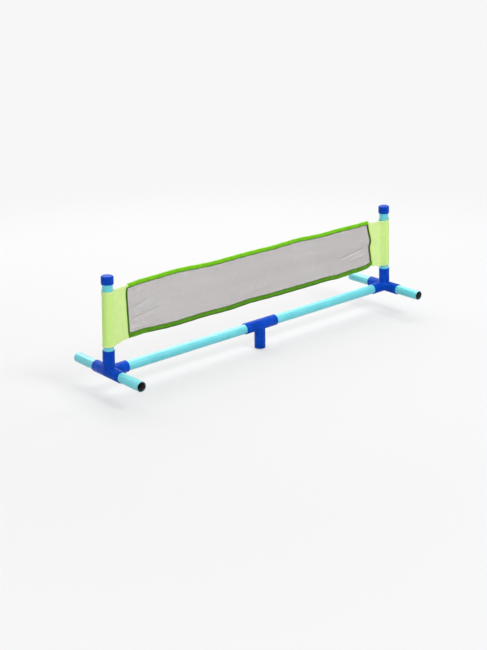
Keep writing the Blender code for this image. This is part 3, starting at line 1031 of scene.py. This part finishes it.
def sleeve_swell(s, z, low, high):
    """How far the cloth stands out of the section: folds where it hangs free, a crumpled lower
    end, a gathered upper one, double cloth at the hems, and slack round the post."""
    run, end, face = np.abs(s), s[-1], np.sign(s)
    free = step(run, 0.024, 0.038) * (1 - step(run, end - 0.009, end - 0.004))
    folds = 0.00016 * np.sin(run * 430.0 + z * 30.0 + face)
    folds = folds + 0.0003 * np.sin(z * 70.0 + face * 2.0)
    crumple = 0.00040 * np.sin(s * 260.0 + 2.0) * (1 - step(z, SLEEVE_BASE, SLEEVE_BASE + 0.016))
    gather = 0.0003 * np.sin(s * 310.0) * step(z, SLEEVE_TOP - 0.012, SLEEVE_TOP)
    hem = step(z, high - 0.0052, high - 0.0046) + 1 - step(z, low + 0.0044, low + 0.0050)
    hem = hem * (1 - step(run, end - 0.004, end - 0.002))
    loose = 0.00022 * (1 + np.sin(s * 190.0 + z * 22.0)) * (1 - step(run, 0.022, 0.032))
    return free * folds + np.abs(crumple) + np.abs(gather) + 0.00016 * hem + loose


print("edges of the left sleeve:", *np.round(sleeve_edges("left", 0.0, -ROUND_POST), 4))


# %% The whole sleeve
def sleeve_surface(side, rows=110):
    """The section is mirrored to both faces and stretched so that it ends at the seam of every
    height. Then it swells: a point moves by the swell along the section's normal, and straight
    out of the panel on its flat part. Gives the points and their places on the cut."""
    s, u, v = sleeve_section(PANEL_LENGTH)
    s, u = np.concatenate([-s[::-1], s[1:]]), np.concatenate([u[::-1], u[1:]])
    v = np.concatenate([-v[::-1], v[1:]])
    low, high = sleeve_edges(side, s, u)
    up = np.linspace(0.0, 1.0, rows)[:, None]
    z = low + (high - low) * up
    out = sleeve_swell(s, z, low, high)
    reach = HALF_SPACING - z * np.tan(POST_LEAN) - np.abs(seam(side, z)) - 0.0003
    flat = np.clip((u - MEET) / (PANEL_LENGTH - MEET), 0.0, 1.0)
    tangent_u, tangent_v = np.gradient(u), np.gradient(v)
    size = np.hypot(tangent_u, tangent_v)
    normal_u, normal_v = -tangent_v / size, tangent_u / size
    outward = np.where(normal_u * (u - 0.004) + normal_v * v > 0, 1.0, -1.0)
    across = u + flat * (reach - PANEL_LENGTH) + out * normal_u * outward * (1 - flat)
    y = v + out * np.where(flat > 0, np.sign(s), normal_v * outward)
    x = -INWARD[side] * (HALF_SPACING - across - z * np.tan(POST_LEAN))
    height = np.broadcast_to(SLEEVE_BASE + (SLEEVE_TOP - SLEEVE_BASE) * up, z.shape)
    cut = np.stack([np.broadcast_to(s, z.shape), height], axis=-1)
    return np.stack([x, y, z], axis=-1), cut


def make_sleeve(side):
    points, cut = sleeve_surface(side)
    faces = [grid_faces(*points.shape[:2], flip=side == "right")]
    name = f"{side}_sleeve_cloth"
    thing = fill_mesh(name, points.reshape(-1, 3), faces, lime_weave, cut.reshape(-1, 2))
    return thicken(thing, CLOTH_WALL)


print("grid of a sleeve:", sleeve_surface("left")[0].shape[:2])


# %% Stitches and corner tabs of a sleeve
STITCH_ROWS = 221   # a finer grid than the cloth's, so that the rows can be placed well


def sleeve_stitches(side):
    """Rows along the hems of the top and bottom, and one up the panel beside the seam."""
    points, _ = sleeve_surface(side, rows=STITCH_ROWS)
    across = np.gradient(points, axis=1)
    up = np.gradient(points, axis=0)
    normal = np.cross(across, up)
    normal /= np.linalg.norm(normal, axis=-1, keepdims=True)
    last, middle = STITCH_ROWS - 1, STITCH_ROWS // 2
    if normal[middle, 10, 1] > 0:
        normal = -normal
    run = np.linalg.norm(np.diff(points[middle], axis=0), axis=1).cumsum()
    marks = np.interp(np.arange(0.002, run[-1] - 0.002, 0.0029), run, np.arange(len(run)))
    place = np.clip(np.round(marks).astype(int), 2, points.shape[1] - 3)
    seams = [(round(share * last), place, across) for share in (0.042, 0.956)]
    seams += [(np.arange(8, 214, 6), column, up) for column in (8, points.shape[1] - 9)]
    spots = np.concatenate([points[row, column] for row, column, _ in seams])
    ahead = np.concatenate([way[row, column] for row, column, way in seams])
    outward = np.concatenate([normal[row, column] for row, column, _ in seams])
    ahead /= np.linalg.norm(ahead, axis=1, keepdims=True)
    spots = spots + outward * (CLOTH_WALL / 2 + 0.00003)
    name = f"{side}_sleeve_stitches"
    return stitch_row(name, spots, ahead, outward, 0.0022, 0.00015, lime_thread)


TABS = {   # the tab's two ends, then where its upper edge starts to rise and where it stops
    "left": (-0.3318, -0.3205, -0.3310, -0.3225), "right": (0.3140, 0.3222, 0.3215, 0.3160),
}


def corner_tab(side):
    """The lime cloth that is folded up under the end of the bright tape: its upper edge rises
    from the panel's corner to the tape."""
    *span, from_x, to_x = TABS[side]
    start, end = 0.1556, upper_edge(to_x) - 0.0010

    def edge(x):
        return start + (end - start) * step((x - from_x) / (to_x - from_x), 0.0, 1.0)

    return folded_tape(
        f"{side}_corner_tab", edge, -1, 0.00070, width=0.0056, wall=0.00024, finish=lime_weave,
        span=span, pucker=0.0,
    )


for side in SIDES:
    pieces = make_sleeve(side), sleeve_stitches(side), corner_tab(side)
    [add_piece(piece, "lime_cloth", f"{side}_sleeve") for piece in pieces]

# %% [markdown]
# ## Cloth
#
# Cloth hardly stretches, and the mesh is mostly holes.

print("soft pieces built: sleeves, tapes, bindings and mesh")

# %% Update the scene
bpy.context.view_layer.update()
